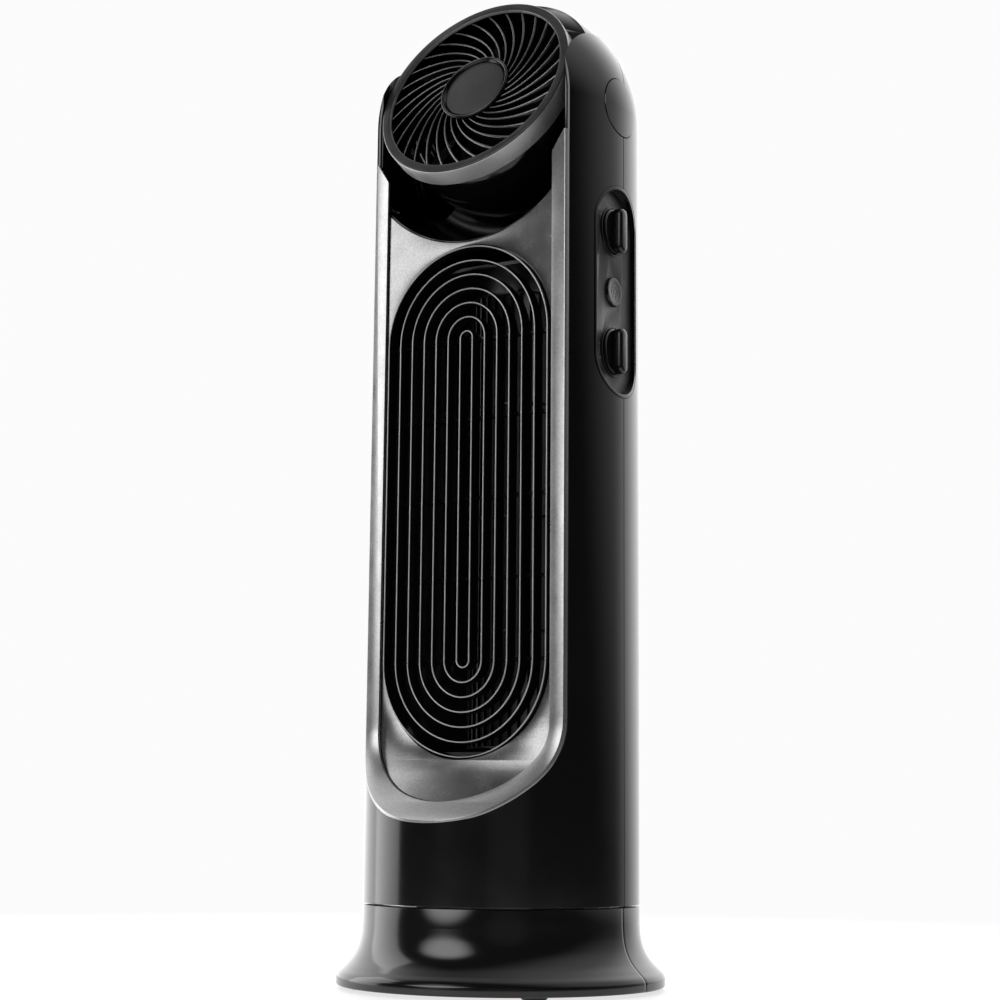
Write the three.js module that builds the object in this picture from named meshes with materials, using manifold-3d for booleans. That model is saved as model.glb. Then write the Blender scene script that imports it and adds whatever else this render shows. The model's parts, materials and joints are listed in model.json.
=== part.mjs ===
// Tower fan with a tilting turbo head. Millimetres, +Z up, the front faces -Y, the foot stands on Z = 0.
import * as THREE from "three";
import { mergeVertices } from "three/addons/utils/BufferGeometryUtils.js";
import Module from "manifold-3d";

const wasm = await Module();
wasm.setup();
const part = new THREE.Group();
const RAD = Math.PI / 180;

// ---------- driving dimensions ----------
const BODY_R = 112;
const WALL = 2.6;
const TOWER_Z = 67.6;
const PIVOT_Z = 720;
const FRONT_Y = -62;
const SPLIT_Y = 2;
const GAP = 0.4;

const BASE_TOP_Z = 66;
const RIM_R = 132.2;

const EAR_X = 90.3;
const TRIM_IN_X = 81;
const TRIM_THICK = 3;
const FOOT_Z = 206;
const FOOT_DEPTH = 59;
const PANEL_SETBACK = 3.6;
const PANEL_THICK = 2.4;
const NOTCH_R = 113.3;

const ARC_LOW_Z = 259.4;
const ARC_TOP_Z = 524.1;
const RING_FIRST = 5.83;
const RING_STEP = 11.89;
const RINGS = 7;
const RIBS = 5;
const FIN = 1.4;
const HOLE_R = 79;

const TILT = 22;
const BEZEL_R = 89.9;
const FACE_F = 60;
const BLADES = 30;
const BLADE_SWEEP = 0.873;
const BLADE_START = -42.5;
const BLADE_HALF = 0.7;
const FAN_BLADES = 5;
const HUB_R = 32.3;
const SPIRAL_R = 33.4;
const SHELL_R = 110.6;
const HEAD_X = 88.6;
const SKIRT_R = 87.4;
const PIN_R = 9;

const PANEL_Y = -2;
const PANEL_R = 34.3;
const PANEL_Z = [507.4, 616.3];
const PANEL_FLOOR_X = 104.4;
const KNOB_Z = [512, 613.4];
const DIAL_R = 18.8;
const GRIP_HALF = 13.6;
const BUTTON_Z = 562.5;
const BUTTON_R = 12;
const STEM_R = 3;
const BORE_R = 3.4;

const WHEEL_Y = 30;
const WHEEL_R = 46;
const WHEEL_Z = [192, 382, 572];
const VANES = 12;

// Profile of the front face, as [y, z]: a flat wall that sweeps forward to the lower body.
const FACE = [
  [-126, 124],
  [-112, 132.5],
  [-106.2, 136.5],
  [-98.7, 143.5],
  [-89.2, 153.2],
  [-79.1, 164.6],
  [-71.2, 176.4],
  [-65.3, 190],
  [-62.7, 202],
  [FRONT_Y, 212],
  [FRONT_Y, 900],
];

// ---------- solids from three.js geometry ----------
function solid(geometry) {
  const bare = geometry.index ? geometry.toNonIndexed() : geometry.clone();
  bare.deleteAttribute("normal");
  bare.deleteAttribute("uv");
  const g = mergeVertices(bare, 1e-4);
  const p = g.attributes.position;
  const ix = g.index.array;
  const tris = [];
  let volume = 0;
  const a = new THREE.Vector3();
  const b = new THREE.Vector3();
  const c = new THREE.Vector3();
  for (let i = 0; i < ix.length; i += 3) {
    const [i0, i1, i2] = [ix[i], ix[i + 1], ix[i + 2]];
    if (i0 === i1 || i1 === i2 || i0 === i2) continue;
    a.fromBufferAttribute(p, i0);
    b.fromBufferAttribute(p, i1);
    c.fromBufferAttribute(p, i2);
    volume += a.dot(b.cross(c));
    tris.push(i0, i1, i2);
  }
  if (volume < 0) tris.reverse();
  const mesh = new wasm.Mesh({
    numProp: 3,
    vertProperties: new Float32Array(p.array),
    triVerts: new Uint32Array(tris),
  });
  return new wasm.Manifold(mesh);
}

const shapeOf = (points) => new THREE.Shape(points.map(([x, y]) => new THREE.Vector2(x, y)));

function prism(points, holes, depth, matrix) {
  const shape = shapeOf(points);
  for (const hole of holes) shape.holes.push(new THREE.Path(hole.map(([x, y]) => new THREE.Vector2(x, y))));
  const g = new THREE.ExtrudeGeometry(shape, { depth, bevelEnabled: false, steps: 1 });
  return solid(g.applyMatrix4(matrix));
}

// Outline in [y, z] run along X, in [x, z] run along Y, and in [x, y] run along Z.
const alongX = (points, x0, x1, holes = []) =>
  prism(points, holes, x1 - x0, new THREE.Matrix4().set(0, 0, 1, x0, 1, 0, 0, 0, 0, 1, 0, 0, 0, 0, 0, 1));
const alongY = (points, y0, y1, holes = []) =>
  prism(points, holes, y1 - y0, new THREE.Matrix4().set(1, 0, 0, 0, 0, 0, 1, y0, 0, 1, 0, 0, 0, 0, 0, 1));
const alongZ = (points, z0, z1, holes = []) =>
  prism(points, holes, z1 - z0, new THREE.Matrix4().makeTranslation(0, 0, z0));

function box(x0, x1, y0, y1, z0, z1) {
  const g = new THREE.BoxGeometry(x1 - x0, y1 - y0, z1 - z0);
  return solid(g.translate((x0 + x1) / 2, (y0 + y1) / 2, (z0 + z1) / 2));
}

// Profiles are [radius, height] turned about Z.
function turnedZ(profile, segments = 40) {
  const points = profile.map(([r, z]) => new THREE.Vector2(r, z));
  return solid(new THREE.LatheGeometry(points, segments).rotateX(Math.PI / 2));
}

const closed = (profile) => [...profile, profile[0]];
const rodProfile = (r, h0, h1) => [
  [0, h0],
  [r, h0],
  [r, h1],
  [0, h1],
];
const rodZ = (r, x, y, z0, z1, segments = 24) =>
  turnedZ(rodProfile(r, z0, z1), segments).translate([x, y, 0]);
const rodX = (r, y, z, x0, x1, segments = 24) =>
  turnedZ(rodProfile(r, x0, x1), segments).rotate([0, 90, 0]).translate([0, y, z]);
const ringProfile = (r0, r1, h0, h1) =>
  closed([
    [r0, h0],
    [r1, h0],
    [r1, h1],
    [r0, h1],
  ]);
const tubeZ = (r0, r1, x, y, z0, z1, segments = 24) =>
  turnedZ(ringProfile(r0, r1, z0, z1), segments).translate([x, y, 0]);

// Turned about the fan axis of the head: height is the distance in front of the pivot.
const turnedHead = (profile, segments = 48) => turnedZ(profile, segments).rotate([90, 0, 0]);
const placeHead = (s) => s.rotate([-TILT, 0, 0]).translate([0, 0, PIVOT_Z]);

function stadium(r, low, top, segments, centre = 0) {
  const points = [];
  for (let i = 0; i <= segments; i++) {
    const t = (Math.PI * i) / segments;
    points.push([centre + r * Math.cos(t), top + r * Math.sin(t)]);
  }
  for (let i = 0; i <= segments; i++) {
    const t = Math.PI + (Math.PI * i) / segments;
    points.push([centre + r * Math.cos(t), low + r * Math.sin(t)]);
  }
  return points;
}

function circle(r, cx, cy, segments) {
  const points = [];
  for (let i = 0; i < segments; i++) {
    const t = (2 * Math.PI * i) / segments;
    points.push([cx + r * Math.cos(t), cy + r * Math.sin(t)]);
  }
  return points;
}

function add(name, s, color, roughness, metalness) {
  const m = s.getMesh();
  const positions = new Float32Array(m.numVert * 3);
  for (let i = 0; i < m.numVert; i++) {
    positions.set(m.vertProperties.subarray(i * m.numProp, i * m.numProp + 3), i * 3);
  }
  const g = new THREE.BufferGeometry();
  g.setAttribute("position", new THREE.BufferAttribute(positions, 3));
  g.setIndex(new THREE.BufferAttribute(new Uint32Array(m.triVerts), 1));
  g.computeVertexNormals();
  const mesh = new THREE.Mesh(g, new THREE.MeshStandardMaterial({ color, roughness, metalness }));
  mesh.name = name;
  part.add(mesh);
}

const BLACK = [0x101114, 0.3, 0.1];
const GLOSS = [0x060708, 0.12, 0.1];
const SATIN = [0x4a4d51, 0.35, 0.6];
const SILVER = [0x9a9da2, 0.35, 0.7];
const DARK = [0x1b1c1f, 0.5, 0.1];
const STEEL = [0x9b9ea3, 0.3, 1];
const RUBBER = [0x141414, 0.9, 0];
const GREEN = [0x1f5a34, 0.6, 0.1];

// ---------- base ----------
const baseProfile = closed([
  [111.8, BASE_TOP_Z],
  [112, 52],
  [112.9, 42],
  [115.4, 32.4],
  [120, 24.2],
  [126, 17.6],
  [130.6, 13.4],
  [RIM_R, 10],
  [RIM_R, 5.6],
  [130.6, 3],
  [128.6, 3],
  [128.6, 9.2],
  [120.4, 18.6],
  [113.4, 29.4],
  [109.9, 43],
  [109.2, 63.4],
  [30, 63.4],
  [30, BASE_TOP_Z],
]);
const baseCover = turnedZ(baseProfile, 48);
const INLET_Z = 44;
const inletHole = rodZ(6.4, 0, 0, 90, 140).rotate([-90, 0, 0]).translate([0, 0, INLET_Z]);
add("base_front_half", baseCover.intersect(box(-150, 150, -150, -0.2, 0, 80)), ...BLACK);
add("base_rear_half", baseCover.intersect(box(-150, 150, 0.2, 150, 0, 80)).subtract(inletHole), ...BLACK);

const screwAngles = [30, 150, 270];
const SCREW_RING = 92;
const FOOT_RING = 112;
const at = (angle, r) => [r * Math.cos(angle * RAD), r * Math.sin(angle * RAD)];

let basePlate = rodZ(127.6, 0, 0, 2.7, 5.2, 48).add(tubeZ(11.5, 20, 0, 0, 5, 34));
let ballast = tubeZ(72, 108, 0, 0, 5.5, 15.5, 40);
for (const angle of screwAngles) {
  const [x, y] = at(angle, SCREW_RING);
  basePlate = basePlate.subtract(rodZ(2.5, x, y, 0, 8, 12));
  ballast = ballast.subtract(rodZ(2.5, x, y, 0, 20, 12));
}
add("base_plate", basePlate, ...DARK);
add("base_ballast", ballast, ...STEEL);
screwAngles.forEach((angle, i) => {
  const [x, y] = at(angle, SCREW_RING);
  const screw = rodZ(4.2, x, y, 0.9, 2.4, 12).add(rodZ(2.1, x, y, 2, 13, 12));
  add("ballast_screw_" + (i + 1), screw, ...STEEL);
});
const footProfile = [[0, 0], [8.6, 0], [10, 1], [10, 2.4], [0, 2.4]];
[45, 135, 225, 315].forEach((angle, i) => {
  const [x, y] = at(angle, FOOT_RING);
  add("rubber_foot_" + (i + 1), turnedZ(footProfile, 16).translate([x, y, 0]), ...RUBBER);
});

const inlet = rodZ(8, 0, 0, 114.8, 117, 20)
  .add(rodZ(6, 0, 0, 103, 124, 20))
  .subtract(rodZ(3.6, 0, 0, 100, 130, 16));
add("cord_inlet", inlet.rotate([-90, 0, 0]).translate([0, 0, INLET_Z]), ...RUBBER);
add("bearing_race", tubeZ(86, 100, 0, 0, 66.3, 69.7, 40), ...SILVER);

// ---------- oscillation drive ----------
const PINION_TEETH = 12;
const GEAR_TEETH = 48;
const MODULE = 1.5;
const DRIVE_Y = ((PINION_TEETH + GEAR_TEETH) * MODULE) / 2;

function gearOutline(teeth, turn) {
  const r = (teeth * MODULE) / 2;
  const points = [];
  for (let i = 0; i < teeth; i++) {
    const steps = [
      [-0.3, r - 1.8],
      [-0.13, r + 1.2],
      [0.13, r + 1.2],
      [0.3, r - 1.8],
    ];
    for (const [s, radius] of steps) {
      const t = ((i + s * 0.86) / teeth) * 2 * Math.PI + turn * RAD;
      points.push([radius * Math.cos(t), radius * Math.sin(t)]);
    }
  }
  return points;
}

const pinionTurn = -90 + 180 / PINION_TEETH;
const pinion = alongZ(gearOutline(PINION_TEETH, pinionTurn), 39, 49).add(rodZ(2.5, 0, 0, 26, 50, 20));
add("osc_pinion", pinion.translate([0, DRIVE_Y, 0]), ...SILVER);
add("osc_gear", alongZ(gearOutline(GEAR_TEETH, 90), 40, 48, [circle(11.3, 0, 0, 32)]), 0xcfd0cc, 0.5, 0);
const oscMotor = rodZ(20, 0, DRIVE_Y, 5.5, 36, 36)
  .add(rodZ(8, 0, DRIVE_Y, 35, 38, 24))
  .subtract(rodZ(2.9, 0, DRIVE_Y, 24, 40, 20));
add("osc_motor", oscMotor, ...STEEL);

// ---------- tower floor and shells ----------
const floorPlate = rodZ(108.4, 0, 0, 70, 73, 48).add(rodZ(11, 0, 0, 14, 71));
add("tower_floor", floorPlate.subtract(rodZ(7, 0, 70, 60, 80, 20)), ...DARK);

function capsule(r, z0) {
  const profile = [[0, z0], [r, z0], [r, PIVOT_Z]];
  const steps = 10;
  for (let i = 1; i < steps; i++) {
    const t = (90 * i * RAD) / steps;
    profile.push([r * Math.cos(t), PIVOT_Z + r * Math.sin(t)]);
  }
  profile.push([0, PIVOT_Z + r]);
  return turnedZ(profile, 56);
}

// Everything in front of the front face, set back by some millimetres.
const inFront = (setback) =>
  alongX([...FACE.map(([y, z]) => [y + setback, z]), [-160, 900], [-160, 124]], -140, 140);

const outerBody = capsule(BODY_R, TOWER_Z);
const shell = outerBody.subtract(capsule(BODY_R - WALL, TOWER_Z - 5));
const capHole = rodX(25.3, 0, PIVOT_Z, -130, 130, 40);
const panelHole = alongX(
  stadium(PANEL_R + GAP, PANEL_Z[0], PANEL_Z[1], 12, PANEL_Y),
  80,
  130,
);

// The joint line is upright up to the pivot and leans back above it.
const SPLIT_TOP = PIVOT_Z + 130;
const SPLIT_LEAN = 36.4;
const frontSide = (edge) => {
  const line = [[edge, 50], [edge, PIVOT_Z], [edge + SPLIT_LEAN, SPLIT_TOP], [-160, SPLIT_TOP], [-160, 50]];
  return alongX(line, -140, 140);
};

const frontHousing = shell
  .intersect(frontSide(SPLIT_Y))
  .subtract(inFront(TRIM_THICK + 0.3))
  .subtract(box(-EAR_X, EAR_X, -140, 140, 688, 900))
  .subtract(capHole)
  .subtract(panelHole);
add("front_housing", frontHousing, ...BLACK);

// A slice of a ball between the planes X = -x and X = x.
function drum(r, x) {
  const profile = [[0, -x]];
  const edge = Math.asin(x / r);
  for (let i = 0; i <= 8; i++) {
    const t = -edge + (2 * edge * i) / 8;
    profile.push([r * Math.cos(t), r * Math.sin(t)]);
  }
  profile.push([0, x]);
  return turnedZ(profile, 36).rotate([0, 90, 0]);
}
const REAR_OPEN = 25;
const headOpening = alongX(
  [
    [-60, PIVOT_Z - 60 * Math.tan(REAR_OPEN * RAD)],
    [140, PIVOT_Z + 140 * Math.tan(REAR_OPEN * RAD)],
    [140, 900],
    [-60, 900],
  ],
  -EAR_X,
  EAR_X,
);
const HANDLE_Z = [592, 622];
const handleHole = (grow) => box(-46 - grow, 46 + grow, 60, 130, HANDLE_Z[0] - grow, HANDLE_Z[1] + grow);
let rearHousing = shell
  .subtract(frontSide(SPLIT_Y + GAP))
  .subtract(headOpening)
  .subtract(drum(SHELL_R + 0.5, HEAD_X + 0.6).translate([0, 0, PIVOT_Z]))
  .subtract(capHole)
  .subtract(panelHole)
  .subtract(handleHole(0.4));
const slotRows = [
  [196, 382],
  [392, 578],
];
const SLOTS = 16;
const SLOT_STEP = 6.43;
const slots = [];
for (const [z0, z1] of slotRows) {
  for (let i = 0; i < SLOTS; i++) {
    const slot = box(100, 120, -2, 2, z0, z1);
    slots.push(slot.rotate([0, 0, 90 + SLOT_STEP * (i - (SLOTS - 1) / 2)]));
  }
}
rearHousing = rearHousing.subtract(wasm.Manifold.union(slots));
add("rear_housing", rearHousing, ...BLACK);

const cupOuter = box(-45.8, 45.8, 80, 130, HANDLE_Z[0] + 0.1, HANDLE_Z[1] - 0.1);
const cupInner = box(-43, 43, 83, 140, HANDLE_Z[0] + 3, HANDLE_Z[1] - 3);
add("handle_cup", cupOuter.intersect(rodZ(BODY_R - 0.9, 0, 0, 500, 700, 56)).subtract(cupInner), ...DARK);

// ---------- front trim and panel ----------
// Outline of the panel in [x, z]: straight sides and an elliptical foot.
function panelOutline(inset, top) {
  const x = TRIM_IN_X - inset;
  const points = [[x, top], [-x, top]];
  const steps = 24;
  for (let i = 0; i <= steps; i++) {
    const t = Math.PI + (Math.PI * i) / steps;
    points.push([x * Math.cos(t), FOOT_Z + (FOOT_DEPTH - inset) * Math.sin(t)]);
  }
  return points;
}

const faceSlab = (setback, thick) => inFront(setback + thick).subtract(inFront(setback));
const trimTop = [
  [60, 670],
  [TRIM_IN_X, 670],
  [92, 687],
  [120, 687],
  [120, 900],
  [60, 900],
];
const mirrored = (points) => points.map(([x, z]) => [-x, z]);
const frontTrim = faceSlab(0, TRIM_THICK)
  .intersect(turnedZ(rodProfile(BODY_R, 100, 700), 56))
  .subtract(alongY(panelOutline(0, 800), -150, 0))
  .subtract(alongY(trimTop, -150, 0))
  .subtract(alongY(mirrored(trimTop), -150, 0));
add("front_trim", frontTrim, ...SILVER);

const notch = rodZ(NOTCH_R, 0, 0, -150, 150, 72).rotate([90, 0, 0]).translate([0, 0, PIVOT_Z]);
const frontPanel = faceSlab(PANEL_SETBACK, PANEL_THICK)
  .intersect(alongY(panelOutline(0.3, 700), -150, 0))
  .subtract(notch)
  .subtract(alongY(stadium(HOLE_R + 0.3, ARC_LOW_Z, ARC_TOP_Z, 18), -150, 0));
add("front_panel", frontPanel, ...SATIN);

// ---------- ring grille ----------
const ringHalf = (k) => RING_FIRST + k * RING_STEP;
const gridLine = (r, steps) => stadium(r, ARC_LOW_Z, ARC_TOP_Z, steps);
let grille = alongY(gridLine(81, 12), -53.6, -50.4, [gridLine(ringHalf(RINGS - 1) - 0.2, 12)]);
for (let k = 0; k < RINGS; k++) {
  const arcs = 6 + k;
  const inner = gridLine(ringHalf(k) - FIN / 2, arcs);
  grille = grille.add(alongY(gridLine(ringHalf(k) + FIN / 2, arcs), FRONT_Y, -50, [inner]));
}
for (let i = 0; i < RIBS; i++) {
  const z = ARC_LOW_Z + ((ARC_TOP_Z - ARC_LOW_Z) * i) / (RIBS - 1);
  grille = grille.add(box(-78, 78, -53, -48, z - 1.4, z + 1.4));
}
add("ring_grille", grille, ...DARK);

// ---------- head cradle and ears ----------
function tunnel(r) {
  const profile = [[0, 58], [r, 58], [r, 0]];
  for (let i = 1; i < 9; i++) profile.push([r * Math.cos(10 * i * RAD), -r * Math.sin(10 * i * RAD)]);
  profile.push([0, -r]);
  return turnedZ(profile, 48).rotate([90, 0, 0]).translate([0, 0, PIVOT_Z]);
}
const CRADLE_R = [111.7, 113.2];
const cradleLip = box(-70, 70, -55.6, -53.8, 606.9, 615);
const cradle = tunnel(CRADLE_R[1])
  .subtract(box(-150, 150, -60, -57.5, 500, 900))
  .add(cradleLip)
  .subtract(tunnel(CRADLE_R[0]))
  .intersect(rodZ(108.6, 0, 0, 500, 700, 56))
  .intersect(box(-89, 89, -57.5, 150, 500, 690));
add("head_cradle", cradle, ...GLOSS);

const earInside = capsule(BODY_R - WALL - 0.5, 400);
for (const [name, side] of [["right", 1], ["left", -1]]) {
  const x0 = EAR_X + 0.3;
  const plate = earInside.intersect(box(x0, x0 + 2, -57.6, 120, 655, 900));
  const pinHole = rodX(PIN_R + 0.5, 0, PIVOT_Z, 80, 110);
  const collar = rodX(14, 0, PIVOT_Z, x0 + 1, 100);
  let liner = plate.add(collar).subtract(pinHole);
  let cap = capsule(BODY_R + 0.5, 600)
    .subtract(capsule(BODY_R - 2.2, 600))
    .intersect(rodX(24.8, 0, PIVOT_Z, 100, 120, 40));
  if (side < 0) {
    liner = liner.mirror([1, 0, 0]);
    cap = cap.mirror([1, 0, 0]);
  }
  add("ear_liner_" + name, liner, ...GLOSS);
  add("pivot_cap_" + name, cap, ...BLACK);
}

// ---------- head ----------
const bezelProfile = closed([
  [81.6, 57.6],
  [82.4, FACE_F],
  [88.8, FACE_F],
  [BEZEL_R, 58.8],
  [BEZEL_R, 43],
  [SKIRT_R, 43],
  [SKIRT_R, 57.6],
]);
add("head_bezel", placeHead(turnedHead(bezelProfile, 48)), ...SATIN);

const BLADE_IN = 31;
const BLADE_OUT = 84;
function bladeOutline(turn) {
  const steps = 3;
  const left = [];
  const right = [];
  for (let i = 0; i <= steps; i++) {
    const r = BLADE_IN * Math.pow(BLADE_OUT / BLADE_IN, i / steps);
    const t = turn + BLADE_SWEEP * Math.log(r / SPIRAL_R);
    const lean = t + Math.atan(BLADE_SWEEP) + Math.PI / 2;
    const [dx, dz] = [BLADE_HALF * Math.cos(lean), BLADE_HALF * Math.sin(lean)];
    const [x, z] = [r * Math.cos(t), r * Math.sin(t)];
    left.push([x + dx, z + dz]);
    right.unshift([x - dx, z - dz]);
  }
  return [...left, ...right];
}
const guardParts = [
  turnedHead(ringProfile(82.8, 87.1, 46, 57.2), 48),
  turnedHead(
    closed([
      [28.4, 47],
      [HUB_R, 47],
      [HUB_R, 58],
      [30.4, 59.4],
      [28.4, 58.2],
    ]),
    36,
  ),
];
for (let i = 0; i < BLADES; i++) {
  const turn = (BLADE_START + (360 * i) / BLADES) * RAD;
  guardParts.push(alongY(bladeOutline(turn), -56.8, -48.4));
}
add("head_guard", placeHead(wasm.Manifold.union(guardParts)), ...DARK);
add("hub_cap", placeHead(turnedHead([[0, 50], [28, 50], [28, 57.2], [25, 58.4], [0, 59.4]], 36)), ...DARK);

const BOWL_F = 16;
const BOWL_R = 83.5;
function bowlArc(r, from, to) {
  const points = [];
  for (let i = 0; i <= 5; i++) {
    const f = from + ((to - from) * i) / 5;
    points.push([Math.sqrt(r * r - (f - BOWL_F) ** 2), f]);
  }
  return points;
}
const bowlProfile = closed([
  [87, 42.6],
  [87, 40.4],
  ...bowlArc(BOWL_R, 40.4, -25.4),
  ...bowlArc(BOWL_R - 2.2, 42.6, -25.4).reverse(),
]);
add("head_bowl", placeHead(turnedHead(bowlProfile, 36)), ...GLOSS);

const HOOD_F = 42.6;
const HOOD_WALL = 2.4;
// Profiles here are [y, z] in the head's own frame, in front of the pivot at -y.
const behind = (y) => alongX([[y, -150], [y, 150], [150, 150], [150, -150]], -100, 100);
const lowerFront = alongX([[-200, -8], [-20, -8], [25, -45], [70, -200], [-200, -200]], -100, 100);
let hood = drum(SHELL_R, HEAD_X)
  .intersect(behind(-HOOD_F))
  .subtract(drum(SHELL_R - HOOD_WALL, HEAD_X - HOOD_WALL).intersect(behind(HOOD_WALL - HOOD_F)))
  .subtract(turnedHead(rodProfile(SKIRT_R, 30, 60)))
  .subtract(lowerFront);
const polar = (r, angle) => [r * Math.cos(angle * RAD), r * Math.sin(angle * RAD)];
const slotSector = [
  ...[48, 60, 72].map((angle) => polar(124, angle)),
  ...[72, 60, 48].map((angle) => polar(98, angle)),
];
const hoodSlots = [];
for (let i = -3; i <= 3; i++) {
  hoodSlots.push(alongX(slotSector, i * 20 - 3, i * 20 + 3));
}
hood = hood.subtract(wasm.Manifold.union(hoodSlots));
hood = hood
  .add(rodX(PIN_R, 0, 0, HEAD_X - 2, 104))
  .add(rodX(PIN_R, 0, 0, -104, -HEAD_X + 2));
add("head_hood", placeHead(hood), ...BLACK);

const headShaft = (r, low) => turnedHead(rodProfile(r, low, 20), 20);
const headMotor = turnedHead(rodProfile(23, -24.6, 14), 36).subtract(headShaft(3.9, -30));
add("head_motor", placeHead(headMotor), ...STEEL);
let mount = turnedHead(ringProfile(57, 66, -29.4, -25.8), 40);
mount = mount.add(turnedHead(rodProfile(25, -28.6, -25), 28));
for (const turn of [90, 210, 330]) {
  mount = mount.add(box(20, 60, 25.6, 28.8, -4, 4).rotate([0, turn, 0]));
}
add("head_motor_mount", placeHead(mount), ...DARK);

const fanHub = [[0, 18], [24, 18], [24, 38], [20, 40.5], [0, 40.5]];
let headFan = turnedHead(fanHub, 28).add(headShaft(3.5, -12));
for (let i = 0; i < FAN_BLADES; i++) {
  const blade = box(20, 68.5, -0.9, 0.9, -16, 16).rotate([52, 0, 0]).translate([0, -29.5, 0]);
  headFan = headFan.add(blade.rotate([0, (360 * i) / FAN_BLADES, 0]));
}
add("head_fan", placeHead(headFan), 0x2a2c30, 0.5, 0);

// ---------- blower in the tower ----------
add("motor_shelf", rodZ(108.4, 0, 0, 112, 115, 48).subtract(rodZ(9, 60, 40, 100, 120, 20)), ...DARK);
const blowerMotor = rodZ(36, 0, WHEEL_Y, 115.4, 180, 40)
  .add(rodZ(14, 0, WHEEL_Y, 179, 183, 28))
  .subtract(rodZ(4.5, 0, WHEEL_Y, 122, 190, 20));
add("blower_motor", blowerMotor, ...STEEL);

const wheelParts = [rodZ(4, 0, 0, 124, 596, 20)];
for (const z of WHEEL_Z) wheelParts.push(rodZ(WHEEL_R, 0, 0, z - 1, z + 1, 30));
for (let i = 0; i < VANES; i++) {
  const vane = box(33.5, 45.6, -0.5, 0.5, WHEEL_Z[0] - 0.5, WHEEL_Z[2] + 0.5).rotate([0, 0, 18]);
  wheelParts.push(vane.translate([1, -10, 0]).rotate([0, 0, (360 * i) / VANES]));
}
add("blower_wheel", wasm.Manifold.union(wheelParts).translate([0, WHEEL_Y, 0]), 0x3a3d42, 0.5, 0);

const DUCT_Z = [184, 586];
const DUCT_PLATE = 3;
const ductPlate = (z) =>
  rodZ(108.2, 0, 0, z, z + DUCT_PLATE, 40)
    .intersect(box(-74, 74, -45, 120, 0, 700))
    .subtract(rodZ(6, 0, WHEEL_Y, 100, 700, 24));
// A duct wall follows points [x, y] and is about 2 mm thick towards the wheel.
const ductWall = (points) => {
  const other = points.map(([x, y]) => [x * 0.97 - Math.sign(x) * 0.4, y]).reverse();
  return alongZ([...points, ...other], DUCT_Z[0] + 2, DUCT_Z[1] + 1);
};
const duct = ductPlate(DUCT_Z[0])
  .add(ductPlate(DUCT_Z[1]))
  .add(ductWall([[-73, -44], [-64, -24], [-57, -4], [-54, 8], [-52, 30], [-48, 50]]))
  .add(ductWall([[73, -44], [72, -10], [69, 20], [62, 48], [50, 68]]));
add("air_duct", duct, ...DARK);
add("wheel_bearing", tubeZ(4.4, 10, 0, WHEEL_Y, 589.4, 594.6), 0xb08d4a, 0.4, 0.9);

// ---------- controls on the side ----------
const panelOutlineSide = (inset) => stadium(PANEL_R - inset, PANEL_Z[0], PANEL_Z[1], 12, PANEL_Y);
const switchBore = (z) => rodX(BORE_R, PANEL_Y, z, 86, 110, 12);
const stem = (z) => rodX(STEM_R, PANEL_Y, z, 90, 105, 12);

let panel = alongX(panelOutlineSide(0), 100, 120)
  .intersect(rodZ(BODY_R - 0.2, 0, 0, 400, 700, 56))
  .subtract(alongX(panelOutlineSide(3), PANEL_FLOOR_X, 130));
for (const z of KNOB_Z) {
  const collar = rodX(DIAL_R + 2.2, PANEL_Y, z, PANEL_FLOOR_X - 0.4, PANEL_FLOOR_X + 1.2, 24)
    .subtract(rodX(DIAL_R + 0.8, PANEL_Y, z, 103, 108, 24));
  panel = panel.add(collar).subtract(switchBore(z));
}
panel = panel.subtract(rodX(BUTTON_R + 0.4, PANEL_Y, BUTTON_Z, 90, 120, 32));
add("control_panel", panel, ...GLOSS);

function switchBody(name, z, half) {
  const body = box(82, 99.6, PANEL_Y - half, PANEL_Y + half, z - half, z + half);
  add(name, body.subtract(switchBore(z)), ...DARK);
}

["lower", "upper"].forEach((place, i) => {
  const z = KNOB_Z[i];
  const dial = rodX(DIAL_R, PANEL_Y, z, PANEL_FLOOR_X + 0.4, 107.6, 32);
  const grip = alongX(stadium(5.2, z - GRIP_HALF, z + GRIP_HALF, 8, PANEL_Y), 107, 115.6);
  add(place + "_knob", dial.add(grip).add(stem(z)), ...GLOSS);
  switchBody(place + "_switch", z, 13);
});
const button = rodX(BUTTON_R, PANEL_Y, BUTTON_Z, 102, 106.4, 32).add(stem(BUTTON_Z));
add("swing_button", button, ...GLOSS);
switchBody("button_switch", BUTTON_Z, 9);
add("control_board", box(79.6, 81.6, PANEL_Y - 18, PANEL_Y + 18, 490, 634), ...GREEN);

export default part;
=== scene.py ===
"""Tower fan with a tilting turbo head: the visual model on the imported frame, its light and its camera.

Shapes are worked out in millimetres in the frame's own axes (+Z up, the front faces -Y).
They are scaled to metres when a piece is finished.
"""
import json
import math

import bmesh
import bpy
from mathutils import Matrix, Vector


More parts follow.
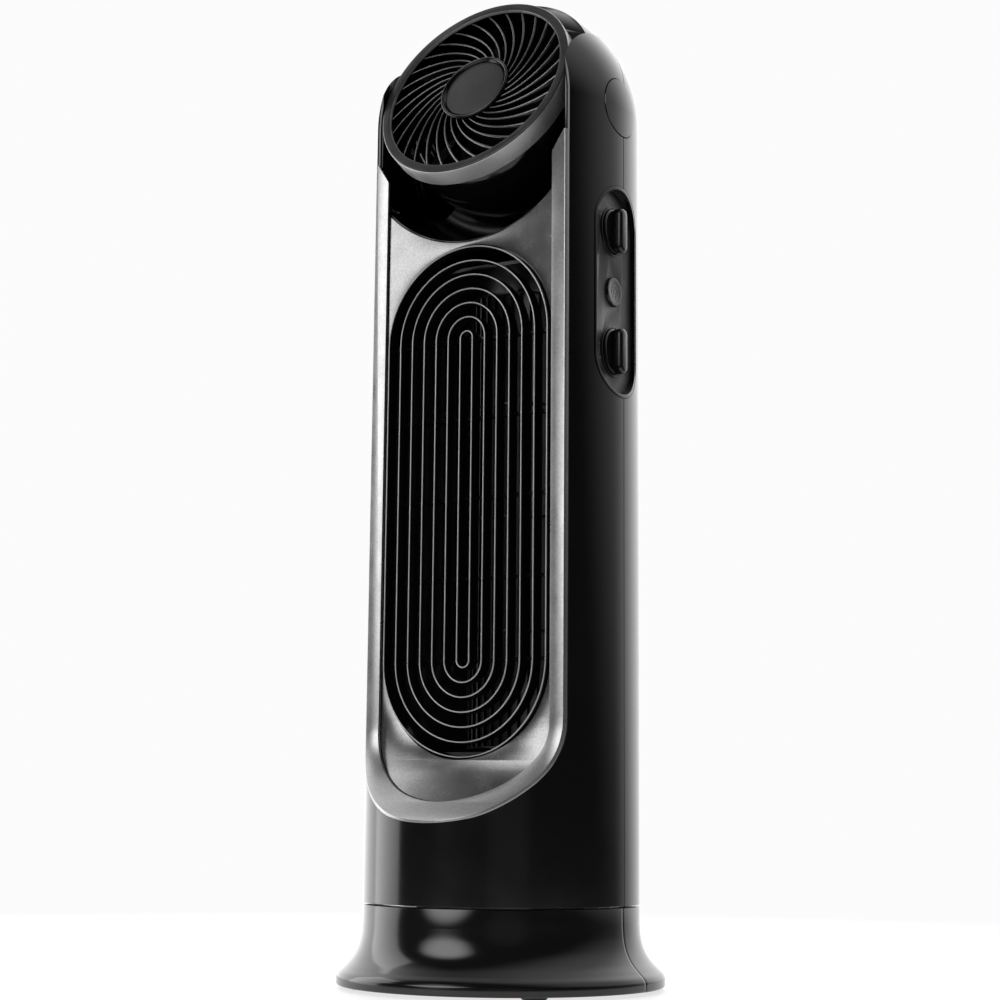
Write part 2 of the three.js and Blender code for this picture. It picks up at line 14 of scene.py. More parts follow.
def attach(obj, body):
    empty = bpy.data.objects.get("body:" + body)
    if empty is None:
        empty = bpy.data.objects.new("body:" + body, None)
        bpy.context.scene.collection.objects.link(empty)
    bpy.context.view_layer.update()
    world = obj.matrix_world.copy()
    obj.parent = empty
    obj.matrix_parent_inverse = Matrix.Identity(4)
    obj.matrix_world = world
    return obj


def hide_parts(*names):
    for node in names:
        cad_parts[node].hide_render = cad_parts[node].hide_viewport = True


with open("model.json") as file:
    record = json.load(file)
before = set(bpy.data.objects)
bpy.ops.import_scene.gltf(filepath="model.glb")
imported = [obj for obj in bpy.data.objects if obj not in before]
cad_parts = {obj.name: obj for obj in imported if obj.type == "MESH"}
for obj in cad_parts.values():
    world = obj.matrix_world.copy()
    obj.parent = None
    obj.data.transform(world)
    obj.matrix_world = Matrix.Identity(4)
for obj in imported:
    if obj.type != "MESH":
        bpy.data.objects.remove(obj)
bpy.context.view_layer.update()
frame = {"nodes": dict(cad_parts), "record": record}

# ---------------------------------------------------------------- dimensions shared with the CAD
MM = 0.001
BODY_R = 112
WALL = 2.6
TOWER_Z = 67.6
INLET_Z = 44
FOOT_RING = 112
PIVOT_Z = 720
FRONT_Y = -62
SPLIT_Y = 2
SPLIT_LEAN = 36.4
SPLIT_TOP = PIVOT_Z + 130
EAR_X = 90.3
TRIM_IN_X = 81
TRIM_THICK = 3
PANEL_SETBACK = 3.6
PANEL_THICK = 2.4
PANEL_FOOT_Z = 206
PANEL_FOOT_DEPTH = 59
NOTCH_R = 113.3
ARC_LOW_Z = 259.4
ARC_TOP_Z = 524.1
HOLE_R = 79
RING_FIRST = 5.83
RING_STEP = 11.89
RINGS = 7
RIBS = 5
TILT = 22
HUB_R = 32.3
SPIRAL_R = 33.4
BEZEL_R = 89.9
BLADES = 30
BLADE_IN = 31
BLADE_OUT = 84
BLADE_START = -132.5
BLADE_SWEEP = 0.873
FAN_BLADES = 5
SKIRT_R = 87.4
PIN_R = 9
BOWL_F = 16
BOWL_R = 83.5
BOWL_WALL = 2.2
CRADLE_R = (111.7, 113.2)
SHELL_R = 110.6
HEAD_X = 88.6
HOOD_F = 42.6
HOOD_WALL = 2.4
PANEL_Y = -2
PANEL_R = 34.3
PANEL_Z = (507.4, 616.3)
PANEL_FLOOR_X = 104.4
KNOB_Z = (512, 613.4)
DIAL_R = 18.8
GRIP_HALF = 13.6
BUTTON_Z = 562.5
BUTTON_R = 12
STEM_R = 3
BORE_R = 3.4
HANDLE_Z = (592, 622)
REAR_OPEN = 25
PIVOT = Vector((0, 0, PIVOT_Z))

FACE = [
    (-126, 124), (-112, 132.5), (-106.2, 136.5), (-98.7, 143.5), (-89.2, 153.2), (-79.1, 164.6),
    (-71.2, 176.4), (-65.3, 190), (-62.7, 202), (FRONT_Y, 212), (FRONT_Y, 900),
]


# ---------------------------------------------------------------- curves
def smooth_line(points, steps=6):
    """The points joined by a Catmull-Rom curve, steps to each stretch."""
    line = []
    last = len(points) - 1
    for i in range(last):
        p0, p1, p2, p3 = (Vector(points[max(0, min(last, i + k))]) for k in (-1, 0, 1, 2))
        for s in range(steps):
            t = s / steps
            a = 2 * p1 + (p2 - p0) * t
            b = (2 * p0 - 5 * p1 + 4 * p2 - p3) * t * t
            c = (3 * p1 - p0 - 3 * p2 + p3) * t ** 3
            line.append(tuple((a + b + c) / 2))
    return line + [tuple(points[-1])]


def arc(r, start, end, steps, centre=(0, 0)):
    """Points on an arc, angles in degrees, both ends included."""
    points = []
    for i in range(steps + 1):
        t = math.radians(start + (end - start) * i / steps)
        points.append((centre[0] + r * math.cos(t), centre[1] + r * math.sin(t)))
    return points


def stadium(r, low, top, steps, centre=0):
    return arc(r, 0, 180, steps, (centre, top)) + arc(r, 180, 360, steps, (centre, low))


def rounded_rect(x0, x1, z0, z1, r, steps=8):
    return (
        arc(r, 0, 90, steps, (x1 - r, z1 - r)) + arc(r, 90, 180, steps, (x0 + r, z1 - r))
        + arc(r, 180, 270, steps, (x0 + r, z0 + r)) + arc(r, 270, 360, steps, (x1 - r, z0 + r))
    )


FACE_LINE = smooth_line(FACE[:-1]) + [FACE[-1]]


# ---------------------------------------------------------------- solids
def build(verts, faces):
    mesh = bpy.data.meshes.new("work")
    mesh.from_pydata([tuple(v) for v in verts], [], faces)
    bm = bmesh.new()
    bm.from_mesh(mesh)
    bmesh.ops.recalc_face_normals(bm, faces=bm.faces)
    bm.to_mesh(mesh)
    bm.free()
    obj = bpy.data.objects.new("work", mesh)
    bpy.context.scene.collection.objects.link(obj)
    return obj


def lathe(profile, segments=160, closed=False, matrix=None):
    """Solid turned about Z from points (radius, height); closed joins the last point to the first."""
    verts, rings = [], []
    for r, h in profile:
        first = len(verts)
        if r < 1e-6:
            verts.append((0, 0, h))
            rings.append([first] * segments)
        else:
            verts += [(x, y, h) for x, y in arc(r, 0, 360, segments)[:-1]]
            rings.append(list(range(first, first + segments)))
    faces = []
    following = rings[1:] + rings[:1] if closed else rings[1:]
    for low, high in zip(rings, following):
        for i in range(segments):
            j = (i + 1) % segments
            corner = list(dict.fromkeys([low[i], low[j], high[j], high[i]]))
            if len(corner) > 2:
                faces.append(corner)
    obj = build(verts, faces)
    if matrix:
        obj.data.transform(matrix)
    return obj


PLACES = {
    "x": lambda p, d: (d, p[0], p[1]),
    "y": lambda p, d: (p[0], d, p[1]),
    "z": lambda p, d: (p[0], p[1], d),
}


def prism(points, axis, low, high):
    """An outline run along X (points are y, z), Y (x, z) or Z (x, y)."""
    place = PLACES[axis]
    n = len(points)
    verts = [place(p, low) for p in points] + [place(p, high) for p in points]
    sides = [[i, (i + 1) % n, n + (i + 1) % n, n + i] for i in range(n)]
    return build(verts, [list(range(n)), list(range(n, 2 * n))] + sides)


def box(x0, x1, y0, y1, z0, z1):
    return prism([(x0, y0), (x1, y0), (x1, y1), (x0, y1)], "z", z0, z1)


def sweep(sections):
    """Closed surface through a list of rings of points, capped at its two ends."""
    n = len(sections[0])
    verts = [p for ring in sections for p in ring]
    faces = [list(range(n)), list(range(len(verts) - n, len(verts)))]
    for k in range(len(sections) - 1):
        for i in range(n):
            j = (i + 1) % n
            faces.append([k * n + i, k * n + j, (k + 1) * n + j, (k + 1) * n + i])
    return build(verts, faces)


def loop_sweep(sections):
    """Surface through rings of points that come back to the first ring."""
    n, m = len(sections[0]), len(sections)
    verts = [p for ring in sections for p in ring]
    faces = []
    for k in range(m):
        for i in range(n):
            j = (i + 1) % n
            faces.append([k * n + i, k * n + j, (k + 1) % m * n + j, (k + 1) % m * n + i])
    return build(verts, faces)


def remove(obj):
    mesh = obj.data
    bpy.data.objects.remove(obj)
    bpy.data.meshes.remove(mesh)


def settle(obj):
    """Turns the object's modifiers into mesh."""
    graph = bpy.context.evaluated_depsgraph_get()
    mesh = bpy.data.meshes.new_from_object(obj.evaluated_get(graph))
    obj.modifiers.clear()
    old = obj.data
    obj.data = mesh
    bpy.data.meshes.remove(old)


def combine(obj, tool, operation):
    modifier = obj.modifiers.new("combine", "BOOLEAN")
    modifier.operation = operation
    modifier.object = tool
    modifier.solver = "MANIFOLD"
    settle(obj)
    remove(tool)
    return obj


def cut(obj, *tools):
    for tool in tools:
        combine(obj, tool, "DIFFERENCE")
    return obj


def within(obj, *tools):
    for tool in tools:
        combine(obj, tool, "INTERSECT")
    return obj


def join(obj, *others):
    """Puts separate closed solids in one mesh."""
    bm = bmesh.new()
    for source in (obj, *others):
        bm.from_mesh(source.data)
    bm.to_mesh(obj.data)
    bm.free()
    for other in others:
        remove(other)
    return obj


def capsule_normal(p):
    """Outward direction of the tower's round surface: a cylinder with half a ball on top."""
    return Vector((p.x, p.y, max(0.0, p.z - PIVOT_Z))).normalized()


def ball_normal(p):
    return (p - PIVOT).normalized()


def round_normals(mesh, direction):
    """Gives corners that face the way of a known round surface that surface's exact normal."""
    normals = [Vector(c.vector) for c in mesh.corner_normals]
    for face in mesh.polygons:
        for corner in face.loop_indices:
            exact = direction(mesh.vertices[mesh.loops[corner].vertex_index].co)
            if face.normal.dot(exact) > 0.995:
                normals[corner] = exact
    mesh.normals_split_custom_set([tuple(n) for n in normals])


EDGE_ANGLE = 32


def finish_piece(obj, name, body, material, replaced=(), bevel=0.4, exact=None):
    """Cleans and bevels a solid, scales it to metres, and hands it to the frame."""
    obj.name = name
    obj.data.name = name
    bm = bmesh.new()
    bm.from_mesh(obj.data)
    bmesh.ops.remove_doubles(bm, verts=bm.verts, dist=0.002)
    bmesh.ops.dissolve_limit(bm, angle_limit=math.radians(0.2), verts=bm.verts, edges=bm.edges)
    bm.to_mesh(obj.data)
    bm.free()
    if bevel:
        modifier = obj.modifiers.new("edges", "BEVEL")
        modifier.width = bevel
        modifier.segments = 2
        modifier.limit_method = "ANGLE"
        modifier.angle_limit = math.radians(EDGE_ANGLE)
        modifier.use_clamp_overlap = True
        settle(obj)
    mesh = obj.data
    mesh.shade_smooth()
    mesh.set_sharp_from_angle(angle=math.radians(EDGE_ANGLE + 8))
    if exact:
        round_normals(mesh, exact)
    mesh.transform(Matrix.Scale(MM, 4))
    mesh.materials.clear()
    mesh.materials.append(material)
    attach(obj, body)
    if replaced:
        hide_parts(*replaced)
    return obj


def paint_faces(obj, material, chosen):
    """A second material on the faces that a test picks; the test gets the face's centre (mm) and normal."""
    obj.data.materials.append(material)
    for face in obj.data.polygons:
        if chosen(face.center / MM, face.normal):
            face.material_index = len(obj.data.materials) - 1


# ---------------------------------------------------------------- materials
class Nodes:
    """A material's node tree with short calls for the few nodes that this scene uses."""

    def __init__(self, name):
        self.material = bpy.data.materials.new(name)
        self.material.use_nodes = True
        self.tree = self.material.node_tree
        self.shader = self.tree.nodes["Principled BSDF"]
        self.point = self.tree.nodes.new("ShaderNodeTexCoord").outputs["Object"]

    def link(self, source, target):
        self.tree.links.new(source, target)

    def noise(self, scale, detail=3, rough=0.55, stretch=None):
        node = self.tree.nodes.new("ShaderNodeTexNoise")
        node.inputs["Scale"].default_value = scale
        node.inputs["Detail"].default_value = detail
        node.inputs["Roughness"].default_value = rough
        source = self.point
        if stretch:
            mapping = self.tree.nodes.new("ShaderNodeMapping")
            mapping.inputs["Scale"].default_value = stretch
            self.link(self.point, mapping.inputs["Vector"])
            source = mapping.outputs["Vector"]
        self.link(source, node.inputs["Vector"])
        return node.outputs["Fac"]

    def cells(self, scale):
        node = self.tree.nodes.new("ShaderNodeTexVoronoi")
        node.inputs["Scale"].default_value = scale
        self.link(self.point, node.inputs["Vector"])
        return node.outputs["Distance"]

    def remap(self, source, low, high, from_low=0.3, from_high=0.7):
        node = self.tree.nodes.new("ShaderNodeMapRange")
        node.inputs["From Min"].default_value = from_low
        node.inputs["From Max"].default_value = from_high
        node.inputs["To Min"].default_value = low
        node.inputs["To Max"].default_value = high
        self.link(source, node.inputs["Value"])
        return node.outputs["Result"]

    def blend(self, source, first, second, from_low=0.3, from_high=0.7):
        node = self.tree.nodes.new("ShaderNodeValToRGB")
        node.color_ramp.elements[0].position = from_low
        node.color_ramp.elements[0].color = (*first, 1)
        node.color_ramp.elements[1].position = from_high
        node.color_ramp.elements[1].color = (*second, 1)
        self.link(source, node.inputs["Fac"])
        return node.outputs["Color"]

    def bump(self, height, distance):
        node = self.tree.nodes.new("ShaderNodeBump")
        node.inputs["Distance"].default_value = distance
        node.inputs["Strength"].default_value = 1.0
        self.link(height, node.inputs["Height"])
        return node.outputs["Normal"]

    def finish(self, colour, roughness, normal=None, metallic=0.0):
        self.link(colour, self.shader.inputs["Base Color"])
        self.link(roughness, self.shader.inputs["Roughness"])
        if normal:
            self.link(normal, self.shader.inputs["Normal"])
        self.shader.inputs["Metallic"].default_value = metallic
        return self.material


def grey(level, warm=0.0):
    return (level * (1 + warm), level, level * (1 - warm))


def moulded(name, low, high, roughness, grain_size, grain_depth):
    """Moulded plastic: drifting tone, uneven gloss and a fine grain, its size and depth in millimetres."""
    n = Nodes(name)
    drift = n.noise(9, 4)
    grain = n.noise(1000 / grain_size, 2)
    colour = n.blend(drift, low, high)
    rough = n.remap(n.noise(42, 5), roughness * 0.85, roughness * 1.2)
    return n.finish(colour, rough, n.bump(grain, grain_depth * MM))


def satin_paint(name, low, high, roughness, metallic):
    """Metallic paint: a fine mottle with small flakes and small changes in gloss."""
    n = Nodes(name)
    flakes = n.noise(2300, 2)
    mottle = n.noise(620, 3, 0.7)
    colour = n.blend(mottle, low, high, 0.32, 0.68)
    rough = n.remap(n.noise(55, 4), roughness * 0.88, roughness * 1.15)
    normal = n.bump(flakes, 0.004 * MM)
    return n.finish(colour, rough, normal, metallic)


def brushed_metal(name, low, high, roughness):
    n = Nodes(name)
    lines = n.noise(60, 4, 0.6, (1, 1, 40))
    colour = n.blend(lines, low, high)
    rough = n.remap(lines, roughness * 0.7, roughness * 1.3)
    return n.finish(colour, rough, n.bump(lines, 0.01 * MM), 1.0)


def board_material():
    n = Nodes("printed_board")
    tracks = n.cells(170)
    colour = n.blend(tracks, (0.015, 0.10, 0.035), (0.05, 0.22, 0.08), 0.42, 0.5)
    return n.finish(colour, n.remap(tracks, 0.35, 0.5), n.bump(tracks, 0.05 * MM))


def floor_material():
    n = Nodes("studio_floor")
    colour = n.blend(n.noise(3, 3), grey(0.24), grey(0.26))
    n.shader.inputs["Emission Color"].default_value = (1, 1, 1, 1)
    n.shader.inputs["Emission Strength"].default_value = 0.72
    distance = n.tree.nodes.new("ShaderNodeVectorMath")
    distance.operation = "LENGTH"
    n.link(n.point, distance.inputs[0])
    n.link(n.remap(distance.outputs["Value"], 1, 0, 0.5, 1.4), n.shader.inputs["Alpha"])
    return n.finish(colour, n.remap(n.noise(20, 3), 0.55, 0.65))


body_black = moulded("body_black", grey(0.0045), grey(0.0065), 0.13, 0.9, 0.0035)
gloss_black = moulded("gloss_black", grey(0.003), grey(0.0045), 0.07, 1.6, 0.002)
fin_black = moulded("fin_black", grey(0.004), grey(0.006), 0.16, 0.7, 0.004)
dark_plastic = moulded("dark_plastic", grey(0.010), grey(0.015), 0.38, 0.45, 0.02)
hub_plastic = moulded("hub_plastic", grey(0.010), grey(0.018), 0.5, 0.55, 0.05)
knob_black = moulded("knob_black", grey(0.004), grey(0.007), 0.24, 0.4, 0.005)
panel_black = moulded("panel_black", grey(0.009, 0.05), grey(0.012, 0.05), 0.42, 0.5, 0.008)
# Painted highlight: a light grey metallic paint for the grille fins' front edges, standing in for the light
# that their rounded edges catch.
painted_ring_edge_highlight = satin_paint("painted_ring_edge_highlight", grey(0.30), grey(0.38), 0.32, 0.7)
# Painted highlight: a lighter grey paint for the guard blades' front edges, standing in for light caught on
# those edges.
painted_blade_edge_highlight = satin_paint("painted_blade_edge_highlight", grey(0.14), grey(0.18), 0.25, 0.65)
satin_grey = satin_paint("satin_grey", grey(0.18), grey(0.24), 0.25, 0.85)
bezel_grey = satin_paint("bezel_grey", grey(0.03), grey(0.045), 0.34, 0.5)
ring_side = satin_paint("ring_side", grey(0.5), grey(0.58), 0.4, 0.8)
silver_trim = satin_paint("silver_trim", grey(0.30), grey(0.38), 0.3, 0.85)
print_grey = moulded("print_grey", grey(0.20), grey(0.26), 0.5, 0.5, 0.01)
steel = brushed_metal("steel", grey(0.42), grey(0.55), 0.3)
bronze = brushed_metal("bearing_bronze", (0.42, 0.26, 0.10), (0.55, 0.36, 0.15), 0.35)
rubber = moulded("rubber", grey(0.012), grey(0.018), 0.75, 0.6, 0.04)
nylon = moulded("white_nylon", (0.55, 0.54, 0.5), (0.64, 0.63, 0.59), 0.42, 0.8, 0.015)
board_green = board_material()

CAD_MATERIALS = {
    "body_black": body_black, "gloss_black": gloss_black, "dark_plastic": dark_plastic,
    "satin_grey": satin_grey, "silver_trim": silver_trim, "steel": steel, "rubber": rubber,
    "white_nylon": nylon, "bearing_bronze": bronze, "board_green": board_green,
}


def dress_cad_nodes():
    """The CAD solids that stay, mostly hidden works, take the procedural materials of their slots."""
    for entry in frame["record"]["subparts"]:
        node = frame["nodes"][entry["node"]]
        node.data.materials.clear()
        node.data.materials.append(CAD_MATERIALS[entry["material_slot"]])


# ---------------------------------------------------------------- base
def base_pieces():
    outer = smooth_line([
        (112, 52), (112.9, 42), (115.4, 32.4), (120, 24.2), (126, 17.6), (130.2, 13.6), (132.0, 10.6),
    ])
    inner = smooth_line([
        (129.2, 3), (129.2, 9.2), (120.4, 18.6), (113.4, 29.4), (109.9, 43), (109.2, 63.4),
    ], 4)
    rim = [(132.2, 9.6), (132.2, 4.2), (131.4, 3)]
    profile = [(111.9, 66)] + outer + rim + inner + [(30, 63.4), (30, 66)]
    inlet = Matrix.Translation((0, 0, INLET_Z)) @ Matrix.Rotation(math.radians(-90), 4, "X")
    for half, low, high in (("front", -150, -0.2), ("rear", 0.2, 150)):
        shell = within(lathe(profile, 240, closed=True), box(-150, 150, low, high, 0, 80))
        if half == "rear":
            hole = lathe([(0, 90), (6.4, 90), (6.4, 140), (0, 140)], 48)
            hole.data.transform(inlet)
            cut(shell, hole)
        name = "base_%s_half" % half
        finish_piece(shell, "base_cover_" + half, "base", body_black, [name], 0.35)
    for i in range(4):
        x, y = arc(FOOT_RING, 45 + 90 * i, 45 + 90 * i, 1)[0]
        profile = [(0, 0), (8.4, 0), (9.6, 0.5), (10, 1.3), (10, 2.4), (0, 2.4)]
        foot = lathe(profile, 40, matrix=Matrix.Translation((x, y, 0)))
        replaced = ["rubber_foot_%d" % (i + 1)]
        finish_piece(foot, "foot_pad_%d" % (i + 1), "base", rubber, replaced, 0)
    gland = [(3.6, 103), (6, 103), (6, 114.8), (8, 114.8), (8, 117)]
    for k in range(4):
        start = 117.4 + 1.7 * k
        gland += [(6.1 - 0.15 * k, start), (6.1 - 0.15 * k, start + 1), (5.2 - 0.1 * k, start + 1.1)]
        gland += [(5.2 - 0.1 * k, start + 1.6)]
    gland += [(5.0, 124), (3.6, 124)]
    piece = lathe(gland, 48, closed=True, matrix=inlet)
    finish_piece(piece, "cord_gland", "base", rubber, ["cord_inlet"], 0.2)


# ---------------------------------------------------------------- tower shells
def capsule(r, z0, segments=256):
    profile = [(0, z0), (r, z0)] + arc(r, 0, 90, 48, (0, PIVOT_Z))
    profile[-1] = (0, PIVOT_Z + r)
    return lathe(profile, segments)


def in_front(setback):
    """Everything in front of the front face, set back by some millimetres."""
    line = [(y + setback, z) for y, z in FACE_LINE]
    return prism(line + [(-160, 900), (-160, 124)], "x", -140, 140)


def front_side(edge):
    """All that is in front of the joint line, which leans back above the pivot."""
    lean = (edge + SPLIT_LEAN, SPLIT_TOP)
    return prism([(edge, 50), (edge, PIVOT_Z), lean, (-160, SPLIT_TOP), (-160, 50)], "x", -140, 140)


def pivot_disc(r, x0, x1, steps=64):
    """A round bar along X through the head's pivot."""
    return prism(arc(r, 0, 360, steps, (0, PIVOT_Z))[:-1], "x", *sorted((x0, x1)))


def cap_hole():
    return pivot_disc(25.4, -130, 130, 96)


def panel_hole():
    return prism(stadium(PANEL_R + 0.4, *PANEL_Z, 40, PANEL_Y), "x", 80, 130)


def shell_solid():
    return cut(capsule(BODY_R, TOWER_Z), capsule(BODY_R - WALL, TOWER_Z - 5))


def front_shell():
    shell = within(shell_solid(), front_side(SPLIT_Y))
    between_ears = box(-EAR_X, EAR_X, -140, 140, 688, 900)
    cut(shell, in_front(TRIM_THICK + 0.3), between_ears, cap_hole(), panel_hole())
    finish_piece(shell, "shell_front", "tower", body_black, ["front_housing"], 0.45, capsule_normal)


def head_opening():
    rise = math.tan(math.radians(REAR_OPEN))
    line = [(-60, PIVOT_Z - 60 * rise), (140, PIVOT_Z + 140 * rise), (140, 900), (-60, 900)]
    return prism(line, "x", -EAR_X, EAR_X)


def intake_slot(angle, z0, z1):
    slot = prism(stadium(2, z0 + 2, z1 - 2, 8), "x", 100, 120)
    slot.data.transform(Matrix.Rotation(math.radians(angle), 4, "Z"))
    return slot


def rear_shell():
    shell = cut(shell_solid(), front_side(SPLIT_Y + 0.9), head_opening(), cap_hole(), panel_hole())
    sweep_room = drum(SHELL_R + 0.5, HEAD_X + 0.6)
    sweep_room.data.transform(Matrix.Translation(PIVOT))
    cut(shell, sweep_room)
    cut(shell, prism(rounded_rect(-46.4, 46.4, 591.6, 622.4, 8), "y", 60, 130))
    slots = []
    for z0, z1 in ((196, 382), (392, 578)):
        for i in range(8):
            for side in (-1, 1):
                slots.append(intake_slot(90 + side * (3.214 + 6.4286 * i), z0, z1))
    cut(shell, join(*slots))
    finish_piece(shell, "shell_rear", "tower", body_black, ["rear_housing"], 0.4, capsule_normal)


def handle_cup():
    cup = prism(rounded_rect(-45.8, 45.8, 592.1, 621.9, 7.6), "y", 80, 130)
    within(cup, lathe([(0, 500), (BODY_R - 0.5, 500), (BODY_R - 0.5, 700), (0, 700)], 200))
    cut(cup, prism(rounded_rect(-43, 43, 595, 619, 5.5), "y", 83, 140))
    finish_piece(cup, "grip_cup", "tower", dark_plastic, ["handle_cup"], 0.8)


def pivot_caps():
    for name, side in (("right", 1), ("left", -1)):
        cap = cut(capsule(BODY_R + 0.5, 600, 320), capsule(BODY_R - 2.2, 590))
        within(cap, pivot_disc(24.6, side * 95, side * 125, 96))
        finish_piece(cap, "ear_cap_" + name, "tower", body_black, ["pivot_cap_" + name], 0.5, capsule_normal)


def ear_liners():
    for name, side in (("right", 1), ("left", -1)):
        x0, x1 = sorted((side * (EAR_X + 0.3), side * (EAR_X + 2.3)))
        plate = within(capsule(BODY_R - WALL - 0.5, 400), box(x0, x1, -57.6, 120, 655, 900))
        combine(plate, pivot_disc(14, side * (EAR_X + 1.3), side * 100), "UNION")
        cut(plate, pivot_disc(PIN_R + 0.5, side * (EAR_X - 4.7), side * 105))
        finish_piece(plate, "ear_plate_" + name, "tower", gloss_black, ["ear_liner_" + name], 0.4)


# ---------------------------------------------------------------- front trim, panel and grille
def panel_outline(inset, top):
    x = TRIM_IN_X - inset
    foot = [(x * math.cos(t), PANEL_FOOT_Z + (PANEL_FOOT_DEPTH - inset) * math.sin(t))
            for t in (math.radians(180 + 180 * i / 72) for i in range(73))]
    return [(x, top), (-x, top)] + foot


def face_slab(setback, thick):
    return cut(in_front(setback + thick), in_front(setback))


def front_trim():
    body = lathe([(0, 100), (BODY_R, 100), (BODY_R, 700), (0, 700)], 256)
    trim = within(face_slab(0, TRIM_THICK), body)
    top = [(60, 670), (TRIM_IN_X, 670), (92, 687), (120, 687), (120, 900), (60, 900)]
    other = [(-x, z) for x, z in top]
    for outline in (panel_outline(0, 800), top, other):
        cut(trim, prism(outline, "y", -150, 0))
    finish_piece(trim, "trim_band", "tower", silver_trim, ["front_trim"], 0.6)


def front_panel():
    panel = within(face_slab(PANEL_SETBACK, PANEL_THICK), prism(panel_outline(0.3, 700), "y", -150, 0))
    cut(panel, prism(arc(NOTCH_R, 0, 360, 240, (0, PIVOT_Z))[:-1], "y", -150, 150))
    cut(panel, prism(stadium(HOLE_R + 0.3, ARC_LOW_Z, ARC_TOP_Z, 72), "y", -150, 0))
    finish_piece(panel, "face_panel", "tower", satin_grey, ["front_panel"], 0.6)


def stadium_sweep(section, steps=44):
    """A section of points (outward, y) carried round the grille's stadium line."""
    rings = []
    for centre, start in ((ARC_TOP_Z, 0), (ARC_LOW_Z, 180)):
        for i in range(steps + 1):
            t = math.radians(start + 180 * i / steps)
            rings.append([(r * math.cos(t), y, centre + r * math.sin(t)) for r, y in section])
    return loop_sweep(rings)


def ring_section(r):
    """A fin's section: a rounded front edge on a blade that thickens to the back."""
    front = [(r + x, FRONT_Y + 0.7 - y) for x, y in arc(0.7, 0, 180, 6)]
    return [(r + 1.0, -50.2)] + [(x, y) for x, y in front] + [(r - 1.0, -50.2)]


def ring_grille():
    rings = [stadium_sweep(ring_section(RING_FIRST + k * RING_STEP)) for k in range(RINGS)]
    flange = stadium_sweep([(81, -50.4), (81, -53.6), (77.2, -53.6), (76.6, -53), (76.6, -50.4)])
    ribs = [box(-78, 78, -53, -48, z - 1.4, z + 1.4)
            for z in (ARC_LOW_Z + (ARC_TOP_Z - ARC_LOW_Z) * i / (RIBS - 1) for i in range(RIBS))]
    grille = join(rings[0], *rings[1:], flange, *ribs)
    finish_piece(grille, "grille_rings", "tower", fin_black, ["ring_grille"], 0)
    # The fins' front edge faces take the painted highlight, which shows as thin bright lines round each
    # ring.
    paint_faces(grille, painted_ring_edge_highlight, lambda c, n: c.y < FRONT_Y + 0.35)


def tunnel(r):
    profile = [(0, 58), (r, 58)] + [(x, -y) for x, y in arc(r, 0, 90, 24)]
    profile[-1] = (0, -r)
    turn = Matrix.Translation(PIVOT) @ Matrix.Rotation(math.radians(90), 4, "X")
    return lathe(profile, 192, matrix=turn)


def head_cradle():
    inside, outside = CRADLE_R
    cradle = cut(tunnel(outside), tunnel(inside), box(-150, 150, -60, -57.5, 500, 900))
    lip = cut(box(-70, 70, -55.6, -53.8, 606.9, 615), tunnel(inside))
    combine(cradle, lip, "UNION")
    within(cradle, lathe([(0, 500), (108.6, 500), (108.6, 700), (0, 700)], 200),
           box(-89, 89, -57.5, 150, 500, 690))
    finish_piece(cradle, "cradle_bowl", "tower", gloss_black, ["head_cradle"], 0.4)


# ---------------------------------------------------------------- head
HEAD = Matrix.Translation(PIVOT) @ Matrix.Rotation(math.radians(-TILT), 4, "X")
FAN_AXIS = HEAD @ Matrix.Rotation(math.radians(90), 4, "X")


def head_bezel():
    edge = arc(1.6, 0, 90, 6, (BEZEL_R - 1.6, 58.6))
    lip = arc(0.9, 90, 180, 5, (83.0, 59.3))
    profile = [(SKIRT_R, 43), (BEZEL_R, 43)] + edge + lip + [(81.8, 57.6), (SKIRT_R, 57.6)]
    ring = lathe(profile, 256, closed=True, matrix=FAN_AXIS)
    finish_piece(ring, "bezel_ring", "head", bezel_grey, ["head_bezel"], 0)
    face = (FAN_AXIS.to_3x3() @ Vector((0, 0, 1))).normalized()
    paint_faces(ring, ring_side, lambda c, n: abs(n.dot(face)) < 0.5)


def blade_sections(turn):
    """Sections of one guard blade along a spiral that widens and twists towards its tip."""
    rings = []
    steps = 22
    for i in range(steps + 1):
        share = i / steps
        r = BLADE_IN * (BLADE_OUT / BLADE_IN) ** share
        t = turn + BLADE_SWEEP * math.log(r / SPIRAL_R)
        lean = t + math.atan(BLADE_SWEEP) + math.pi / 2
        across = Vector((math.cos(lean), math.sin(lean)))
        centre = Vector((r * math.cos(t), r * math.sin(t)))
        half = 0.55 + 0.45 * share
        twist = 0.5 * share ** 2
        section = [(half + 0.2, 0)] + [(half * math.cos(a), 8.4 - half + half * math.sin(a))
                                       for a in (math.pi * k / 6 for k in range(7))] + [(-half - 0.2, 0)]
        ring = []
        for offset, height in section:
            p = centre + across * (offset + (height - 4) * twist)
            ring.append((p.x, p.y, 48.4 + height))
        rings.append(ring)
    return rings


def head_guard():
    outer = lathe([(82.8, 46), (87.1, 46), (87.1, 57.2), (82.8, 57.2)], 240, closed=True)
    hub = lathe([(28.4, 47), (HUB_R, 47), (HUB_R, 58.0)] + arc(1.3, 0, 180, 8, (HUB_R - 1.3, 58.4))
                + [(28.4, 57)], 160, closed=True)
    blades = [sweep(blade_sections(math.radians(BLADE_START + 360 * i / BLADES))) for i in range(BLADES)]
    guard = join(outer, hub, *blades)
    guard.data.transform(FAN_AXIS)
    finish_piece(guard, "swirl_guard", "head", fin_black, ["head_guard"], 0)
    inverse = FAN_AXIS.inverted()

    def on_painted_highlight_edge(c, n):
        p = inverse @ c
        return p.z > 56.1 and HUB_R + 0.6 < math.hypot(p.x, p.y) < 82.4

    # The blades' front edge faces take the painted highlight.
    paint_faces(guard, painted_blade_edge_highlight, on_painted_highlight_edge)


